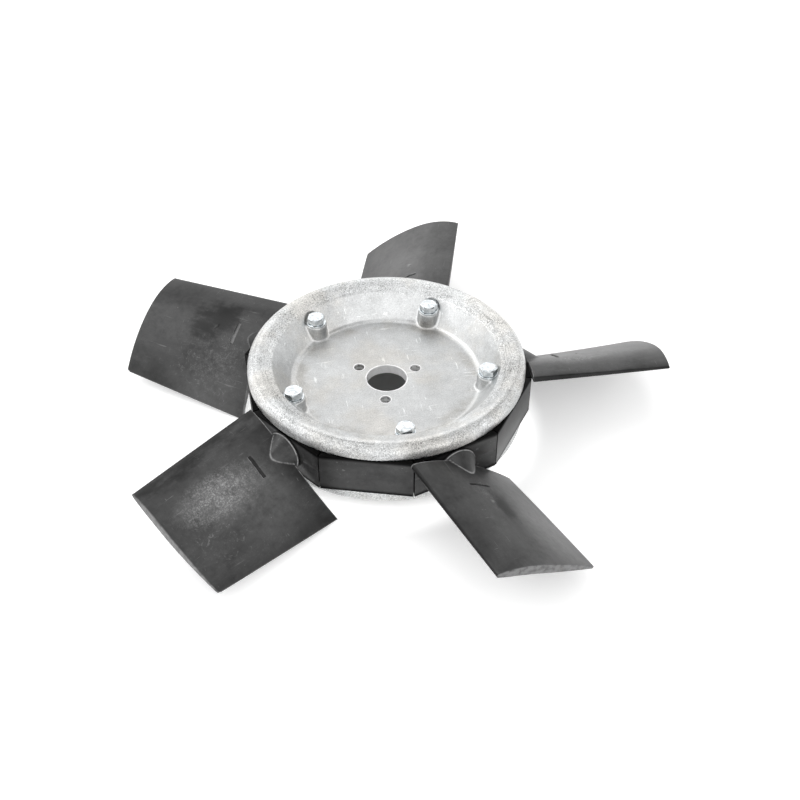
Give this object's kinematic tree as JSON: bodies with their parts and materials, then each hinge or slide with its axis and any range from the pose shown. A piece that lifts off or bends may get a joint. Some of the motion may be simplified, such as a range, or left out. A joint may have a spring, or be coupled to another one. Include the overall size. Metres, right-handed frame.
{
  "type": "axial fan wheel",
  "caption": "Axial cooling-fan wheel: black plastic aerofoil blades on round stems, clamped at an adjustable pitch between two bolted, dished aluminium hub plates.",
  "frame": {"origin": "centre of the bore, at the joint between the two hub plates", "axes": "+Z along the wheel's axis towards the bolt heads, +X along the stem of blade 1"},
  "size_m": [0.4307, 0.446, 0.0699],
  "materials": {
    "hub_alloy": "blasted die-cast aluminium",
    "blade_plastic": "moulded glass-filled nylon, satin black",
    "segment_plastic": "moulded nylon, satin black",
    "zinc_steel": "bright zinc plate"
  },
  "bodies": {
    "hub": {"upper_hub_plate": "hub_alloy", "lower_hub_plate": "hub_alloy", "root_block_upper_1": "segment_plastic", "root_block_upper_2": "segment_plastic", "root_block_upper_3": "segment_plastic", "root_block_upper_4": "segment_plastic", "root_block_upper_5": "segment_plastic", "root_block_lower_1": "segment_plastic", "root_block_lower_2": "segment_plastic", "root_block_lower_3": "segment_plastic", "root_block_lower_4": "segment_plastic", "root_block_lower_5": "segment_plastic", "blank_segment_1": "segment_plastic", "blank_segment_2": "segment_plastic", "blank_segment_3": "segment_plastic", "blank_segment_4": "segment_plastic", "blank_segment_5": "segment_plastic", "clamp_bolts": "zinc_steel", "head_washers": "zinc_steel", "nut_washers": "zinc_steel", "clamp_nuts": "zinc_steel"},
    "blade_body_1": {"blade_1": "blade_plastic"},
    "blade_body_2": {"blade_2": "blade_plastic"},
    "blade_body_3": {"blade_3": "blade_plastic"},
    "blade_body_4": {"blade_4": "blade_plastic"},
    "blade_body_5": {"blade_5": "blade_plastic"}
  },
  "joints": [
    {"name": "blade_1_pitch", "type": "hinge", "parent": "hub", "child": "blade_body_1", "pos_m": [0.1, 0, 0], "axis": [-1, 0, 0], "range_deg": [-10, 15]},
    {"name": "blade_2_pitch", "type": "hinge", "parent": "hub", "child": "blade_body_2", "pos_m": [0.0309, 0.09511, 0], "axis": [-0.309, -0.9511, 0], "range_deg": [-10, 15]},
    {"name": "blade_3_pitch", "type": "hinge", "parent": "hub", "child": "blade_body_3", "pos_m": [-0.0809, 0.05878, 0], "axis": [0.809, -0.5878, 0], "range_deg": [-10, 15]},
    {"name": "blade_4_pitch", "type": "hinge", "parent": "hub", "child": "blade_body_4", "pos_m": [-0.0809, -0.05878, 0], "axis": [0.809, 0.5878, 0], "range_deg": [-10, 15]},
    {"name": "blade_5_pitch", "type": "hinge", "parent": "hub", "child": "blade_body_5", "pos_m": [0.0309, -0.09511, 0], "axis": [-0.309, 0.9511, 0], "range_deg": [-10, 15]}
  ]
}
